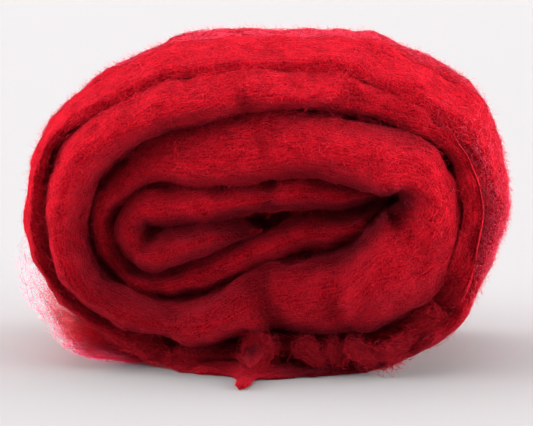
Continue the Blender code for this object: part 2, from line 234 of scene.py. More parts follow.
def wool_mesh(name, points, faces, material, marks=None, winding=None):
    """A smooth mesh object from points in millimetres and arrays of equal-sided faces.

    The UV map "marks" holds each point's painted shade and own tone, from 0 to 1; "winding"
    holds its place along and across the strip, in metres.
    """
    mesh = bpy.data.meshes.new(name)
    mesh.vertices.add(len(points))
    mesh.vertices.foreach_set("co", (points * MM).astype(np.float32).ravel())
    corners = np.concatenate([group.ravel() for group in faces]).astype(np.int32)
    sides = np.concatenate([np.full(len(group), group.shape[1]) for group in faces])
    mesh.loops.add(len(corners))
    mesh.polygons.add(len(sides))
    starts = np.concatenate([[0], np.cumsum(sides)[:-1]]).astype(np.int32)
    mesh.polygons.foreach_set("loop_start", starts)
    mesh.loops.foreach_set("vertex_index", corners)
    for map_name, values in (("marks", marks), ("winding", winding)):
        if values is not None:
            layer = mesh.uv_layers.new(name=map_name)
            layer.uv.foreach_set("vector", values[corners].astype(np.float32).ravel())
    mesh.update(calc_edges=True)
    mesh.shade_smooth()
    mesh.materials.append(material)
    piece = bpy.data.objects.new(name, mesh)
    bpy.context.scene.collection.objects.link(piece)
    return piece


# ---------------------------------------------------------------- the wound strip

RING_SPACING = 1.05  # between cuts across the strip, measured on its outer face
FRONT_EDGE_POINTS = 28
BACK_EDGE_POINTS = 12
OUTER_SIDE_POINTS = 20
INNER_SIDE_POINTS = 5
CLUMPS = ((9.0, 0.9), (4.2, 0.6), (1.5, 0.22))  # cell and height of the surface's clumps
STRANDS = ((8.0, 2.0, 0.3), (3.5, 0.9, 0.16))  # length, width and height of its drawn streaks
BETWEEN = 0.5  # third place in the noise of a pattern that has only two
CLUMP_SEED = 11  # and one more for each further size
STRAND_SEED = 31


def seam_points(closed=False):
    """The seam between the turns as one spiral of points in the face, inner turn first.

    closed gives the seam deep in the roll, where the innermost turn closes on itself.
    """
    points = []
    for turn in range(TURNS + 2):
        for section in SECTIONS:
            if turn >= len(section.seams):
                return np.array(points)
            angle = math.radians(section.heading)
            reach = section.seams[turn]
            if closed and turn == 0:
                reach = CLOSED_FOLD if section.foot in (EYE, BEND) else 0.0
            x, z = section.foot
            points.append((x + reach * math.cos(angle), z + reach * math.sin(angle)))
    return np.array(points)


def setbacks():
    """The front edge's setback at each section along the strip, inner end first."""
    values = []
    for turn in range(TURNS + 1):
        for section in SECTIONS:
            if turn < len(section.setback):
                values.append(section.setback[turn])
    return np.array(values, float)


def crease_shades():
    """Painted shade in the seam's crease at each section along the spiral, the eye's wall first."""
    values = [EYE_WALL_SHADE] * len(SECTIONS)
    for turn in range(TURNS - 1):
        values += [section.shades[turn] for section in SECTIONS]
    return np.array(values + [0.0] * 2 * len(SECTIONS))


def fullnesses():
    """The shares of their rounding that the inner and the outer edge keep along the strip."""
    whole = [1.0] * len(SECTIONS)
    first, second, third = zip(*(section.fullness for section in SECTIONS))
    return np.array([whole * 2 + list(first + third) + whole, whole * 2 + list(second) + whole * 2])


def face_relief(x, z):
    """How far the lumps, ridges and creases lift the spiral face at x, z."""
    total = np.zeros_like(x)
    for lump in LUMPS:
        far = ((x - lump.x) / lump.reach_x) ** 2 + ((z - lump.z) / lump.reach_z) ** 2
        total += lump.height * np.exp(-far)
    for ridge in RIDGES:
        run = np.array([ridge.x2 - ridge.x1, ridge.z2 - ridge.z1])
        along = ((x - ridge.x1) * run[0] + (z - ridge.z1) * run[1]) / (run @ run)
        along = np.clip(along, 0, 1)
        far = np.hypot(x - ridge.x1 - along * run[0], z - ridge.z1 - along * run[1])
        total += ridge.height * np.exp(-((far / ridge.reach) ** 2))
    return total


def rounded_edge(points):
    """(across, inset) pairs round an edge, from the inner face to the outer one."""
    across = np.sin(np.linspace(-math.pi / 2, math.pi / 2, points))
    return across, np.abs(across) ** EDGE_FULLNESS


def by_turn(values, t):
    """One value for each turn, read along the strip and blended where a turn gives way to the next."""
    turn = np.arange(len(values))
    starts = turn + ROUNDING_CHANGE
    ends = turn + 1 - ROUNDING_CHANGE
    places = np.stack([starts, ends], axis=1).ravel() * len(SECTIONS)
    return np.interp(t, places, np.repeat(values, 2))


def cut_places(seam):
    """Places of the cuts along the strip, counted in sections and evenly spaced in length."""
    fine = np.linspace(0, LAST_SECTION, LAST_SECTION * SAMPLES_PER_SECTION + 1)
    outer = smooth_at(seam, fine + len(SECTIONS))
    steps = np.linalg.norm(np.diff(outer, axis=0), axis=1)
    length = np.concatenate([[0], np.cumsum(steps)])
    count = int(length[-1] / RING_SPACING) + 2
    return np.interp(np.linspace(0, length[-1], count), length, fine)


def strip_grid():
    """Each ring's place along the strip, the points ring by ring, and the painted shade of the creases
    there.
    """
    seam = seam_points()
    closed_seam = seam_points(closed=True)
    t = cut_places(seam)
    inner = smooth_at(seam, t)
    closed_inner = smooth_at(closed_seam, t)
    outer = smooth_at(seam, t + len(SECTIONS))
    thickness = np.linalg.norm(outer - inner, axis=1)
    most = MOST_ROUNDING_SHARE * thickness
    facing_up = (outer - inner)[:, 1] / thickness
    upper = by_turn(UPPER_ROUNDING, t)
    lower = by_turn(LOWER_ROUNDING, t)
    inner_rounding = np.minimum(lower + (upper - lower) * (1 - facing_up) / 2, most)
    outer_rounding = np.minimum(lower + (upper - lower) * (1 + facing_up) / 2, most)
    inner_kept, outer_kept = fullnesses()
    inner_rounding = inner_rounding * smooth_at(inner_kept, t)
    outer_rounding = outer_rounding * smooth_at(outer_kept, t)
    outermost = (t >= (TURNS - 1) * len(SECTIONS)) & (t < TURNS * len(SECTIONS))
    shades = np.clip(crease_shades(), 0, 1)
    inner_shade = smooth_at(shades, t)
    outer_shade = smooth_at(shades, t + len(SECTIONS)) * ~outermost
    inner_reach = CREASE_REACH + UNDER_REACH * (-facing_up).clip(0) * (t >= 2 * len(SECTIONS))
    inner_end = INNER_END_SHADE * np.exp(-t / INNER_END_RUN)
    proudest = by_turn(OUTWARD, t) * (1 - abs(facing_up)) - by_turn(SAG, t) * facing_up.clip(0)
    back_rounding = np.minimum(BACK_ROUNDING, most * BACK_SHARE_OF_MOST)
    thinned = THIN_END + (1 - THIN_END) * ease((LAST_SECTION - t) / THINNING_RUN)[:, None]
    inner = outer + (inner - outer) * thinned
    closed_inner = outer + (closed_inner - outer) * thinned
    tapered = 1 - INNER_TAPER * (1 - ease(t / INNER_TAPER_RUN)[:, None])
    inner = outer + (inner - outer) * tapered
    closed_inner = outer + (closed_inner - outer) * tapered
    front = -STRIP_WIDTH / 2 + smooth_at(setbacks(), t)
    front = front + END_SWEEP * (1 - ease((LAST_SECTION - t) / END_SWEEP_RUN))
    back = STRIP_WIDTH / 2 - BACK_WAVE - BACK_WAVE * np.sin(BACK_WAVES_PER_SECTION * t)

    columns = []
    creases = []

    def add(across, depth, frontness):
        closing = ease((depth - front) / CLOSING_RUN)[:, None]
        near = inner + closing * (closed_inner - inner)
        step = outer - near
        length = np.linalg.norm(step, axis=1)
        reach = proudest * (1 - abs(across)) + across
        share = 0.5 + reach * (0.5 + PRESSED / 2 / length)
        x, z = (near + step * share[:, None]).T
        relief = face_relief(x, z) * frontness
        depth = depth - relief
        crown = ease((z - CROWN_START) / (CROWN_WHOLE - CROWN_START))
        crown = crown * ease((depth - front) / CROWN_RUN)
        z = z + CROWN_RISE * crown * outermost * max(across, 0)
        columns.append(np.stack([x, depth, z], axis=1))
        # Painted shade near the creases, in the face's dents and at the strip's inner end.
        near_inner = inner_shade * np.exp(-(((1 + reach) / 2 * length / inner_reach) ** 2))
        near_outer = outer_shade * np.exp(-(((1 - reach) / 2 * length / CREASE_REACH) ** 2))
        in_crease = ease(-relief / RELIEF_SHADED)
        creases.append(1 - (1 - near_inner) * (1 - near_outer) * (1 - inner_end) * (1 - in_crease))

    for across, inset_share in zip(*rounded_edge(FRONT_EDGE_POINTS)):
        rounding = inner_rounding if across < 0 else outer_rounding
        add(across, front + rounding * inset_share, 1 - 0.5 * inset_share)
    for share in np.linspace(0, 1, OUTER_SIDE_POINTS + 2)[1:-1]:
        start = front + outer_rounding
        add(1.0, start + share * (back - back_rounding - start), 0.0)
    for across, inset_share in zip(*(row[::-1] for row in rounded_edge(BACK_EDGE_POINTS))):
        add(across, back - back_rounding * inset_share, 0.0)
    for share in np.linspace(1, 0, INNER_SIDE_POINTS + 2)[1:-1]:
        start = front + inner_rounding
        add(-1.0, start + share * (back - back_rounding - start), 0.0)
    return t, np.stack(columns, axis=1), np.stack(creases, axis=1)


def grid_normals(grid):
    """Outward unit normals of a grid of rings whose columns close on themselves."""
    along = np.gradient(grid, axis=0)
    around = np.roll(grid, -1, axis=1) - np.roll(grid, 1, axis=1)
    return unit(np.cross(along, around))


def lift_strip(grid):
    """The grid with the clumps and drawn streaks of carded wool raised on it, and its own map."""
    around = np.linalg.norm(np.diff(grid, axis=1, append=grid[:, :1]), axis=2)
    v = np.concatenate([np.zeros((len(grid), 1)), np.cumsum(around, axis=1)], axis=1)
    s = np.arange(len(grid))[:, None] * RING_SPACING
    lift = np.zeros(grid.shape[:2])
    for order, (cell, height) in enumerate(CLUMPS):
        lift += height * noise(grid / cell, CLUMP_SEED + order)
    for order, (length, width, height) in enumerate(STRANDS):
        lift += height * noise(stacked(s / length, v[:, :-1] / width, BETWEEN), STRAND_SEED + order)
    lifted = grid + grid_normals(grid) * lift[..., None]
    lifted[..., 2] = np.maximum(lifted[..., 2], 0.0)
    return lifted, stacked(s, v[:, :-1]) * MM


def grid_faces(rings, columns):
    ring, column = np.meshgrid(np.arange(rings - 1), np.arange(columns), indexing="ij")
    after = (column + 1) % columns
    first = ring * columns
    faces = stacked(first + column, first + after, first + columns + after, first + columns + column)
    return faces.reshape(-1, 4)


def wound_strip(grid, winding, field, material):
    rings, columns = grid.shape[:2]
    ends = np.arange(columns)
    faces = [
        grid_faces(rings, columns)[:, ::-1],
        np.stack([ends, (ends + (rings - 1) * columns)[::-1]]),
    ]
    points = grid.reshape(-1, 3)
    # the first mark is the painted shade
    marks = stacked(painted_shade(points, field), 0.0)
    return wool_mesh("wound_roving", points, faces, material, marks, winding.reshape(-1, 2))


# ---------------------------------------------------------------- the spiral face as a field

# This field gives the painted shade: wool darkened in the face's hollows, in its creases and low down.
FIELD_CELL = 0.6
FIELD_LOW = (-74.0, -8.0)  # X and Z of its first cell
FIELD_CELLS = (240, 176)
OPEN_DEPTH = -12.0  # Y taken where there is no wool
SAME_DEPTH = 0.8  # what lies this little behind the frontmost wool shows with it
SOFT_REACH = 1.3  # the field is smoothed this far for the fibres that bridge its creases
HOLLOW_REACHES = (2.2, 5.5)  # a hollow is what lies behind the face smoothed this far
HOLLOW_FROM = 0.5  # how far behind it the painted shade sets in, and is whole
HOLLOW_WHOLE = 6.0
RIM_COVER = 0.7  # there is no such shade where the wool around covers less than this share
LOW_SHADE = 0.3  # painted shade low on the face, darker towards the floor
LOW_FROM = 48.0  # height from which it sets in, and by which it is whole
LOW_WHOLE = 24.0
CREASE_SOFTNESS = 0.7  # the creases' shade is smoothed this far
SHADED_DEPTH = 22.0  # the painted shade is only this deep into the roll
SHADE_FADE = 6.0  # and fades over this depth

# Depth of the face, as it is and smoothed, how wholly there is wool around a place, the creases'
# painted shade, and the winding's direction.
Field = namedtuple("Field", "wool soft smoothed cover crease along_x along_z")


def blurred(values, reach):
    taps = np.arange(-math.ceil(3 * reach / FIELD_CELL), math.ceil(3 * reach / FIELD_CELL) + 1)
    taps = np.exp(-0.5 * (taps * FIELD_CELL / reach) ** 2)
    taps = taps / taps.sum()
    for axis in (0, 1):
        values = np.apply_along_axis(np.convolve, axis, values, taps, "same")
    return values


def face_field(grid, creases):
    """The spiral face as a regular field over X and Z."""
    face = grid[:, : FRONT_EDGE_POINTS + 1]
    along = np.gradient(face, axis=0)
    depth = np.full(FIELD_CELLS, np.inf)
    crease = np.zeros(FIELD_CELLS)
    ways = np.zeros((*FIELD_CELLS, 2))
    for ring_share, column_share in itertools.product((0.0, 0.5), repeat=2):
        near = face[:-1] * (1 - ring_share) + face[1:] * ring_share
        places = near[:, :-1] * (1 - column_share) + near[:, 1:] * column_share
        cell = ((places[..., [0, 2]] - FIELD_LOW) / FIELD_CELL).astype(int)
        here = (cell[..., 0], cell[..., 1])
        np.minimum.at(depth, here, places[..., 1])
        frontmost = places[..., 1] < depth[here] + SAME_DEPTH
        np.maximum.at(crease, here, np.where(frontmost, creases[:-1, :FRONT_EDGE_POINTS], 0))
        ways[cell[..., 0], cell[..., 1]] = along[:-1, :-1][..., [0, 2]]
    wool = np.isfinite(depth)
    depth = np.where(wool, depth, OPEN_DEPTH)
    smoothed = [blurred(depth, reach) for reach in HOLLOW_REACHES]
    ways = [blurred(ways[..., part], SOFT_REACH) for part in (0, 1)]
    crease = blurred(crease, CREASE_SOFTNESS)
    cover = blurred(wool.astype(float), HOLLOW_REACHES[-1])
    return Field(wool, blurred(depth, SOFT_REACH), smoothed, cover, crease, *ways)


def read_field(values, x, z):
    row = (x - FIELD_LOW[0]) / FIELD_CELL - 0.5
    column = (z - FIELD_LOW[1]) / FIELD_CELL - 0.5
    return read_grid(values[..., None], row, column, False)[:, 0]


def painted_shade(points, field):
    """Painted shade at each point, from 0 to 1, in the face's hollows and creases and low down."""
    x, y, z = points.T
    behind = sum(y - read_field(layer, x, z) for layer in field.smoothed) / len(field.smoothed)
    shade = ease((behind - HOLLOW_FROM) / (HOLLOW_WHOLE - HOLLOW_FROM))
    shade = shade * ease((read_field(field.cover, x, z) - RIM_COVER) / (1 - RIM_COVER))
    low = LOW_SHADE * ease((LOW_FROM - z) / (LOW_FROM - LOW_WHOLE))
    shade = 1 - (1 - shade) * (1 - low) * (1 - np.clip(read_field(field.crease, x, z), 0, 1))
    fade = ease((SHADED_DEPTH - STRIP_WIDTH / 2 - y) / SHADE_FADE + 1)
    return shade * fade


# ---------------------------------------------------------------- fibres

# Fibres that lie on a surface, or lift off it. Each is a spindle, pointed at both ends.
#   count, points  how many, and the points along each
#   length, width  in millimetres; a fibre's own length and width vary round these
#   lean           spread of its heading about the winding's direction, radians
#   crimp, wander  how much its heading swings, and how much it drifts, at each point
#   lift, free     height of its middle over the surface, and of its loose tip
Fibres = namedtuple("Fibres", "count points length width lean crimp wander lift free")

FRONT_NAP = Fibres(8000, 4, 3.4, 0.08, 1.0, 0.8, 0.5, 0.3, 0.1)
FRONT_FUZZ = Fibres(16000, 3, 2.4, 0.06, 1.5, 0.9, 0.5, 0.2, 0.9)
OUTER_NAP = Fibres(15000, 3, 3.2, 0.13, 0.8, 0.6, 0.4, 0.3, 0.1)
OUTER_FUZZ = Fibres(14000, 3, 2.4, 0.06, 1.5, 0.8, 0.5, 0.3, 0.9)
RIM_FUZZ = Fibres(6000, 3, 2.8, 0.07, 1.4, 0.8, 0.5, 0.4, 0.7)
BACK_NAP = Fibres(9000, 3, 3.0, 0.12, 1.3, 0.6, 0.4, 0.3, 0.3)
FRONT_VEIL = Fibres(4200, 6, 8.0, 0.06, 0.5, 0.5, 0.3, 0.5, 0.3)
OUTER_STRANDS = Fibres(1800, 6, 12.0, 0.1, 0.4, 0.4, 0.2, 0.4, 0.3)
LOCK_FIBRES = Fibres(7000, 4, 4.5, 0.13, 0.6, 1.0, 0.5, 0.0, 0.0)
RIM_FROM = 20.0  # X from which the rim is fluffier, and by which it is wholly so
RIM_WHOLE = 50.0
RIM_LOW = 16.0  # its fluff sets in from this height, and is whole by the next
RIM_HIGH = 42.0
RIM_TOP = 76.0  # it thins out upwards from the floor, and is gone by this height
FIBRE_SIDES = 3
BURIED = 0.1  # a fibre's ends start this far under the surface
OWN_LENGTH = (0.5, 1.4)  # a fibre's own length, rise and width, as shares of its kind's
OWN_RISE = (0.2, 1.6)
OWN_WIDTH = (0.6, 1.4)
CRIMP_BEAT = (1.2, 2.4)  # radians of its crimp from one point to the next
EVEN_BEAT = 1.8  # the same in the veil and the locks
MOST_FREE = 3  # a loose tip stands off by at most this many times its kind's height
TIP_BEND = 1.5  # exponent of the way a loose tip lifts off along the fibre
VEIL_TIP_BEND = 2
LEAST_CELL = (0.3, 0.15)  # a grid's cell counts as at least this long and wide
FIBRE_SEED = 100  # where fibres lie, one more for each further kind
VEIL_SEED = 120  # where those of the veil and the locks lie
WIDTH_SEED = 200  # how wide they are, one more for each further kind
VEIL_WIDTH_SEED = 220

# Torn locks that hang before the face, from x1, z1 to x2, z2; reach is half the width, and share
# the number of fibres, in hundredths of the count of LOCK_FIBRES.
Lock = namedtuple("Lock", "name x1 z1 x2 z2 reach share")

LOCKS = (
    Lock("torn tuft", -2.2, 10.0, -5.9, -0.3, 2.3, 30),
    Lock("side of the torn tuft", 1.0, 9.0, -2.5, 2.5, 1.8, 12),
    Lock("first under the lobes", 8.0, 8.5, 14.0, 2.5, 2.6, 12),
    Lock("second under the lobes", 15.0, 8.5, 19.0, 2.5, 2.2, 9),
    Lock("third under the lobes", 20.0, 8.0, 29.0, 4.5, 2.6, 12),
    Lock("fourth under the lobes", 28.0, 5.0, 38.0, 10.0, 3.0, 14),
    Lock("curl under the bend", 43.5, 17.0, 34.0, 9.5, 3.2, 20),
    Lock("near edge of the outer end", -20.0, 1.6, -42.0, 4.6, 2.2, 16),
    Lock("its upper part", -30.0, 5.0, -45.0, 9.0, 3.0, 8),
)
LOCK_SHADE = 0.5  # most painted shade on them
LOCK_TAPER = 0.45  # share of its width that a lock loses towards its tip
LOCK_STAND = 1.0  # its middle stands this far before the face
LOCK_ARCH = 1.2  # how long that middle is: more is longer
LOCK_ROOTS = (-0.15, 0.9)  # shares of its length between which its fibres start


def read_grid(values, row, column, closed):
    """Bilinear reading of a grid; the columns of a closed one wrap."""
    rows, columns = values.shape[:2]
    row = np.clip(row, 0, rows - 1.001)
    column = np.mod(column, columns) if closed else np.clip(column, 0, columns - 1.001)
    r, c = row.astype(int), column.astype(int)
    c = np.minimum(c, columns - 1)
    u, v = (row - r)[:, None], (column - c)[:, None]
    after = (c + 1) % columns
    low = values[r, c] * (1 - v) + values[r, after] * v
    high = values[r + 1, c] * (1 - v) + values[r + 1, after] * v
    return low * (1 - u) + high * u


def lay_fibres(grid, normals, closed, weights, kind, seed):
    """Paths, as (fibre, point, place), and the surface's normal at each of their points."""
    random = np.random.default_rng(seed)
    along = np.gradient(grid, axis=0)
    if closed:
        around = (np.roll(grid, -1, axis=1) - np.roll(grid, 1, axis=1)) / 2
    else:
        around = np.gradient(grid, axis=1)
    area = np.linalg.norm(np.cross(along, around), axis=2) * weights
    chosen = random.choice(area.size, kind.count, p=area.ravel() / area.sum())
    row, column = np.divmod(chosen, grid.shape[1])
    row = row + random.random(kind.count)
    column = column + random.random(kind.count)
    heading = random.normal(0, kind.lean, kind.count) + math.pi * random.integers(0, 2, kind.count)
    phase = random.uniform(0, 2 * math.pi, kind.count)
    beat = random.uniform(*CRIMP_BEAT, kind.count)
    size = random.uniform(*OWN_LENGTH, kind.count)
    step = size * kind.length / (kind.points - 1)
    rise = random.uniform(*OWN_RISE, kind.count)
    tip = random.exponential(kind.free, kind.count) if kind.free else np.zeros(kind.count)
    tip = np.minimum(tip, MOST_FREE * kind.free)
    paths, ups = [], []
    for point in range(kind.points):
        share = point / (kind.points - 1)
        up = unit(read_grid(normals, row, column, closed))
        height = kind.lift * rise * math.sin(math.pi * share) - BURIED + tip * share**TIP_BEND
        paths.append(read_grid(grid, row, column, closed) + up * height[:, None])
        ups.append(up)
        swung = heading + kind.crimp * np.sin(phase + beat * point)
        forward = np.linalg.norm(read_grid(along, row, column, closed), axis=1)
        sideways = np.linalg.norm(read_grid(around, row, column, closed), axis=1)
        row = row + step * np.cos(swung) / np.maximum(forward, LEAST_CELL[0])
        column = column + step * np.sin(swung) / np.maximum(sideways, LEAST_CELL[1])
        heading = heading + random.normal(0, kind.wander, kind.count)
    return np.stack(paths, axis=1), np.stack(ups, axis=1)


def lay_veil(field, kind, seed):
    """Paths and normals of fibres that lie on the smoothed spiral face and bridge its creases."""
    random = np.random.default_rng(seed)
    cells = np.argwhere(field.wool)
    cells = cells[random.integers(0, len(cells), kind.count)]
    x, z = ((cells + random.random(cells.shape)) * FIELD_CELL + FIELD_LOW).T
    way = np.arctan2(read_field(field.along_z, x, z), read_field(field.along_x, x, z))
    heading = way + random.normal(0, kind.lean, kind.count)
    heading = heading + math.pi * random.integers(0, 2, kind.count)
    phase = random.uniform(0, 2 * math.pi, kind.count)
    step = random.uniform(*OWN_LENGTH, kind.count) * kind.length / (kind.points - 1)
    rise = random.uniform(*OWN_RISE, kind.count)
    tip = random.exponential(kind.free, kind.count)
    paths = []
    inside = np.ones(kind.count, bool)
    for point in range(kind.points):
        share = point / (kind.points - 1)
        height = kind.lift * rise * math.sin(math.pi * share) - BURIED + tip * share**VEIL_TIP_BEND
        paths.append(np.stack([x, read_field(field.soft, x, z) - height, z], axis=1))
        inside &= read_field(field.wool.astype(float), x, z) > 0.5
        swung = heading + kind.crimp * np.sin(phase + EVEN_BEAT * point)
        x = x + step * np.cos(swung)
        z = z + step * np.sin(swung)
        heading = heading + random.normal(0, kind.wander, kind.count)
    paths = np.stack(paths, axis=1)[inside]
    return paths, np.broadcast_to([0.0, -1.0, 0.0], paths.shape)


def lay_locks(field, kind, seed):
    """Paths and normals of the fibres of the locks that hang before the spiral face."""
    random = np.random.default_rng(seed)
    paths = []
    for lock in LOCKS:
        count = kind.count * lock.share // 100
        ends = np.array([[lock.x1, lock.z1], [lock.x2, lock.z2]])
        run = ends[1] - ends[0]
        length = np.linalg.norm(run)
        ahead = run / length
        aside = np.array([-ahead[1], ahead[0]])
        depths = read_field(field.soft, *ends.T)
        along = random.uniform(*LOCK_ROOTS, count)
        angle = random.uniform(0, 2 * math.pi, count)
        out = np.sqrt(random.random(count))
        heading = random.normal(0, kind.lean, count)
        phase = random.uniform(0, 2 * math.pi, count)
        step = random.uniform(*OWN_LENGTH, count) * kind.length / (kind.points - 1)
        side = lock.reach * out * np.cos(angle)
        fibres = []
        for point in range(kind.points):
            taper = 1 - LOCK_TAPER * ease(along)
            place = ends[0] + ahead * (length * along)[:, None] + aside * (side * taper)[:, None]
            stand = LOCK_STAND * ease(LOCK_ARCH - abs(2 * along - 1))
            stand = stand + lock.reach * out * abs(np.sin(angle)) * taper
            y = np.interp(along, (0, 1), depths) - stand
            fibres.append(np.stack([place[:, 0], y, place[:, 1]], axis=1))
            swung = heading + kind.crimp * np.sin(phase + EVEN_BEAT * point)
            along = along + step * np.cos(swung) / length
            side = side + step * np.sin(swung)
            heading = heading + random.normal(0, kind.wander, count)
        paths.append(np.stack(fibres, axis=1))
    paths = np.concatenate(paths)
    return paths, np.broadcast_to([0.0, -1.0, 0.0], paths.shape)


def fibre_spindles(name, paths, ups, width, material, seed, field=None, tones=None, most=1.0):
    """Closed fibres along the paths, widest in their middle and pointed at both ends.

    A field gives the painted shade of the hollows they lie in, up to most, and tones each
    point's own tone.
    """
    random = np.random.default_rng(seed)
    count, points = paths.shape[:2]
    forward = unit(np.gradient(paths, axis=1))
    side = unit(np.cross(forward, ups))
    up = np.cross(side, forward)
    bulge = np.sin(math.pi * np.linspace(0, 1, points)[1:-1]) ** 0.5
    radius = width / 2 * random.uniform(*OWN_WIDTH, (count, 1)) * bulge
    turn = 2 * math.pi * np.arange(FIBRE_SIDES) / FIBRE_SIDES
    spokes = np.cos(turn)[:, None] * side[:, 1:-1, None] + np.sin(turn)[:, None] * up[:, 1:-1, None]
    rings = paths[:, 1:-1, None] + radius[..., None, None] * spokes
    places = [paths[:, :1], rings.reshape(count, -1, 3), paths[:, -1:]]
    places = np.concatenate(places, axis=1)
    places[..., 2] = np.maximum(places[..., 2], 0.0)

    each = places.shape[1]
    corner = 1 + np.arange((points - 2) * FIBRE_SIDES).reshape(points - 2, FIBRE_SIDES)
    after = np.roll(corner, -1, axis=1)
    start = stacked(0, corner[0], after[0])
    tip = stacked(each - 1, after[-1], corner[-1])
    near = stacked(corner[:-1], corner[1:], after[1:]).reshape(-1, 3)
    far = stacked(corner[:-1], after[1:], after[:-1]).reshape(-1, 3)
    faces = np.concatenate([start, near, far, tip])
    faces = faces + each * np.arange(count)[:, None, None]
    places = places.reshape(-1, 3)
    # painted shade, no deeper than most
    hollow = painted_shade(places, field).clip(max=most) if field else 0.0
    tones = random.random(count) if tones is None else tones
    marks = stacked(hollow, np.repeat(tones, each))
    return wool_mesh(name, places, [faces.reshape(-1, 3)], material, marks)


def strip_parts(t, grid):
    """Weights of the strip's open surfaces for the places of fibres.

    They are the front, the outside, the back, and the front's fluffy rim at the right.
    """
    rows, columns = grid.shape[:2]
    column = np.arange(columns)
    turn = t[:, None] / len(SECTIONS)
    front = (column < FRONT_EDGE_POINTS + 2) | (column >= columns - 1)
    outside = (column >= FRONT_EDGE_POINTS) & (column < FRONT_EDGE_POINTS + OUTER_SIDE_POINTS)
    back = column >= FRONT_EDGE_POINTS + OUTER_SIDE_POINTS
    back = back & (column < columns - INNER_SIDE_POINTS)
    outermost = (turn >= TURNS - 1) & (turn < TURNS)
    every = np.ones((rows, 1), bool)
    rim = (front & outermost) * ease((grid[..., 0] - RIM_FROM) / (RIM_WHOLE - RIM_FROM))
    rim = rim * ease((RIM_TOP - grid[..., 2]) / RIM_TOP)
    rim = rim * ease((grid[..., 2] - RIM_LOW) / (RIM_HIGH - RIM_LOW))
    return front & every, outside & outermost, back & every, rim


# ---------------------------------------------------------------- the loose end

# The near and far edges of the last stretch of the strip, fanned out from under the roll.
Stream = namedtuple("Stream", "near_x near_z far_x far_z")

STREAMS = (
    Stream(-30.6, 0.6, -30.6, 1.1),
    Stream(-38.6, 1.4, -38.0, 2.0),
    Stream(-46.8, 3.8, -46.0, 6.2),
    Stream(-54.4, 8.2, -53.4, 14.0),
    Stream(-60.2, 15.2, -59.5, 21.2),
    Stream(-63.4, 23.0, -63.4, 29.5),
    Stream(-64.6, 32.0, -65.8, 38.5),
)
LOOSE_FRONT = -24.0  # Y of the near stream
LOOSE_BACK = 18.0  # Y of the far stream
LOOSE_TUCKED = 9.0  # its near edge starts this much further back, under the roll
LOOSE_FREE = 0.4  # and has come forward by this share of its length
LOOSE_RAGGED = 2.0  # its edges wander this far each way
LOOSE_RAGS = 8  # cells of that wandering in the streams' length
LOOSE_DENSE_X = -46.0  # its wool is as deep in colour as the roll's as far as here
LOOSE_PALING = 26.0  # and pales over this length
FILM_REACH = 0.86  # share of the streams' length that the whole cloth of it reaches
FILM_THICKNESS = 0.4
FILM_ROWS = 110
FILM_COLUMNS = 64
FILM_WAVES = ((14.0, 1.0), (5.0, 0.45))  # cell and height of its crumples
FILM_SMOOTH = 0.2  # it comes out smooth, and is wholly crumpled by this share of the streams' length
FILM_OFF_FLOOR = 0.05  # its outer side stays this far off the floor
FILM_WHOLE = 0.2  # share of its length over which it is still as dense as the strip
FILM_EDGE = 0.2  # share of its width that thins away at each side
FILM_THINNING = 0.9  # exponent of the way it thins out along it
FILM_EDGE_THINNESS = 0.5  # how much thinner its very sides are than its middle, at most
FILM_EDGE_LEAST = 0.04  # its sides count as this much thinned out from the start
LOOSE_FIBRES = Fibres(6500, 4, 5.0, 0.1, 0.8, 0.8, 0.4, 0.5, 0.6)
INNER_FIBRES = LOOSE_FIBRES._replace(count=2500)  # on the side that faces the roll
# Where the streams end counts as 1 along them. The fibres start in a grid that reaches a little
# further, and grow sparser towards where there would be none.
LOOSE_FIBRE_REACH = 1.04
LOOSE_NONE_AT = 1.1
LOOSE_SPARSENESS = 1.9  # exponent of that
LOOSE_SIDE_SHARE = 0.4  # share of the fibres left at its very sides
LOOSE_SIDE_RUN = 0.1  # share of its width over which they are sparser
RAGGED_SEED = 51
CRUMPLE_SEED = 61
LOOSE_SEED = 301  # where its fibres lie
LOOSE_WIDTH_SEED = 302
INNER_SEED = 303


def loose_grid(rows, columns, reach):
    """Points of the loose end's middle surface, along the streams and over from near to far."""
    along = np.linspace(0, reach, rows)
    over = np.linspace(0, 1, columns)
    near_x, near_z, far_x, far_z = smooth_at(STREAMS, along * (len(STREAMS) - 1)).T[..., None]
    x = near_x + over * (far_x - near_x)
    z = near_z + over * (far_z - near_z)
    front = LOOSE_FRONT + LOOSE_TUCKED * (1 - ease(along / LOOSE_FREE))[:, None]
    y = front + over * (LOOSE_BACK - front)
    rags = noise(stacked(LOOSE_RAGS * along[:, None], over, BETWEEN), RAGGED_SEED)
    y = y + LOOSE_RAGGED * (2 * over - 1) * rags
    grid = stacked(x, y, z)
    normals = unit(np.cross(np.gradient(grid, axis=0), np.gradient(grid, axis=1)))
    lift = sum(height * noise(grid / cell, CRUMPLE_SEED) for cell, height in FILM_WAVES)
    grid = grid + normals * (lift * ease(along / FILM_SMOOTH)[:, None])[..., None]
    grid[..., 2] = np.maximum(grid[..., 2], FILM_THICKNESS / 2 + FILM_OFF_FLOOR)
    return along, over, grid, normals


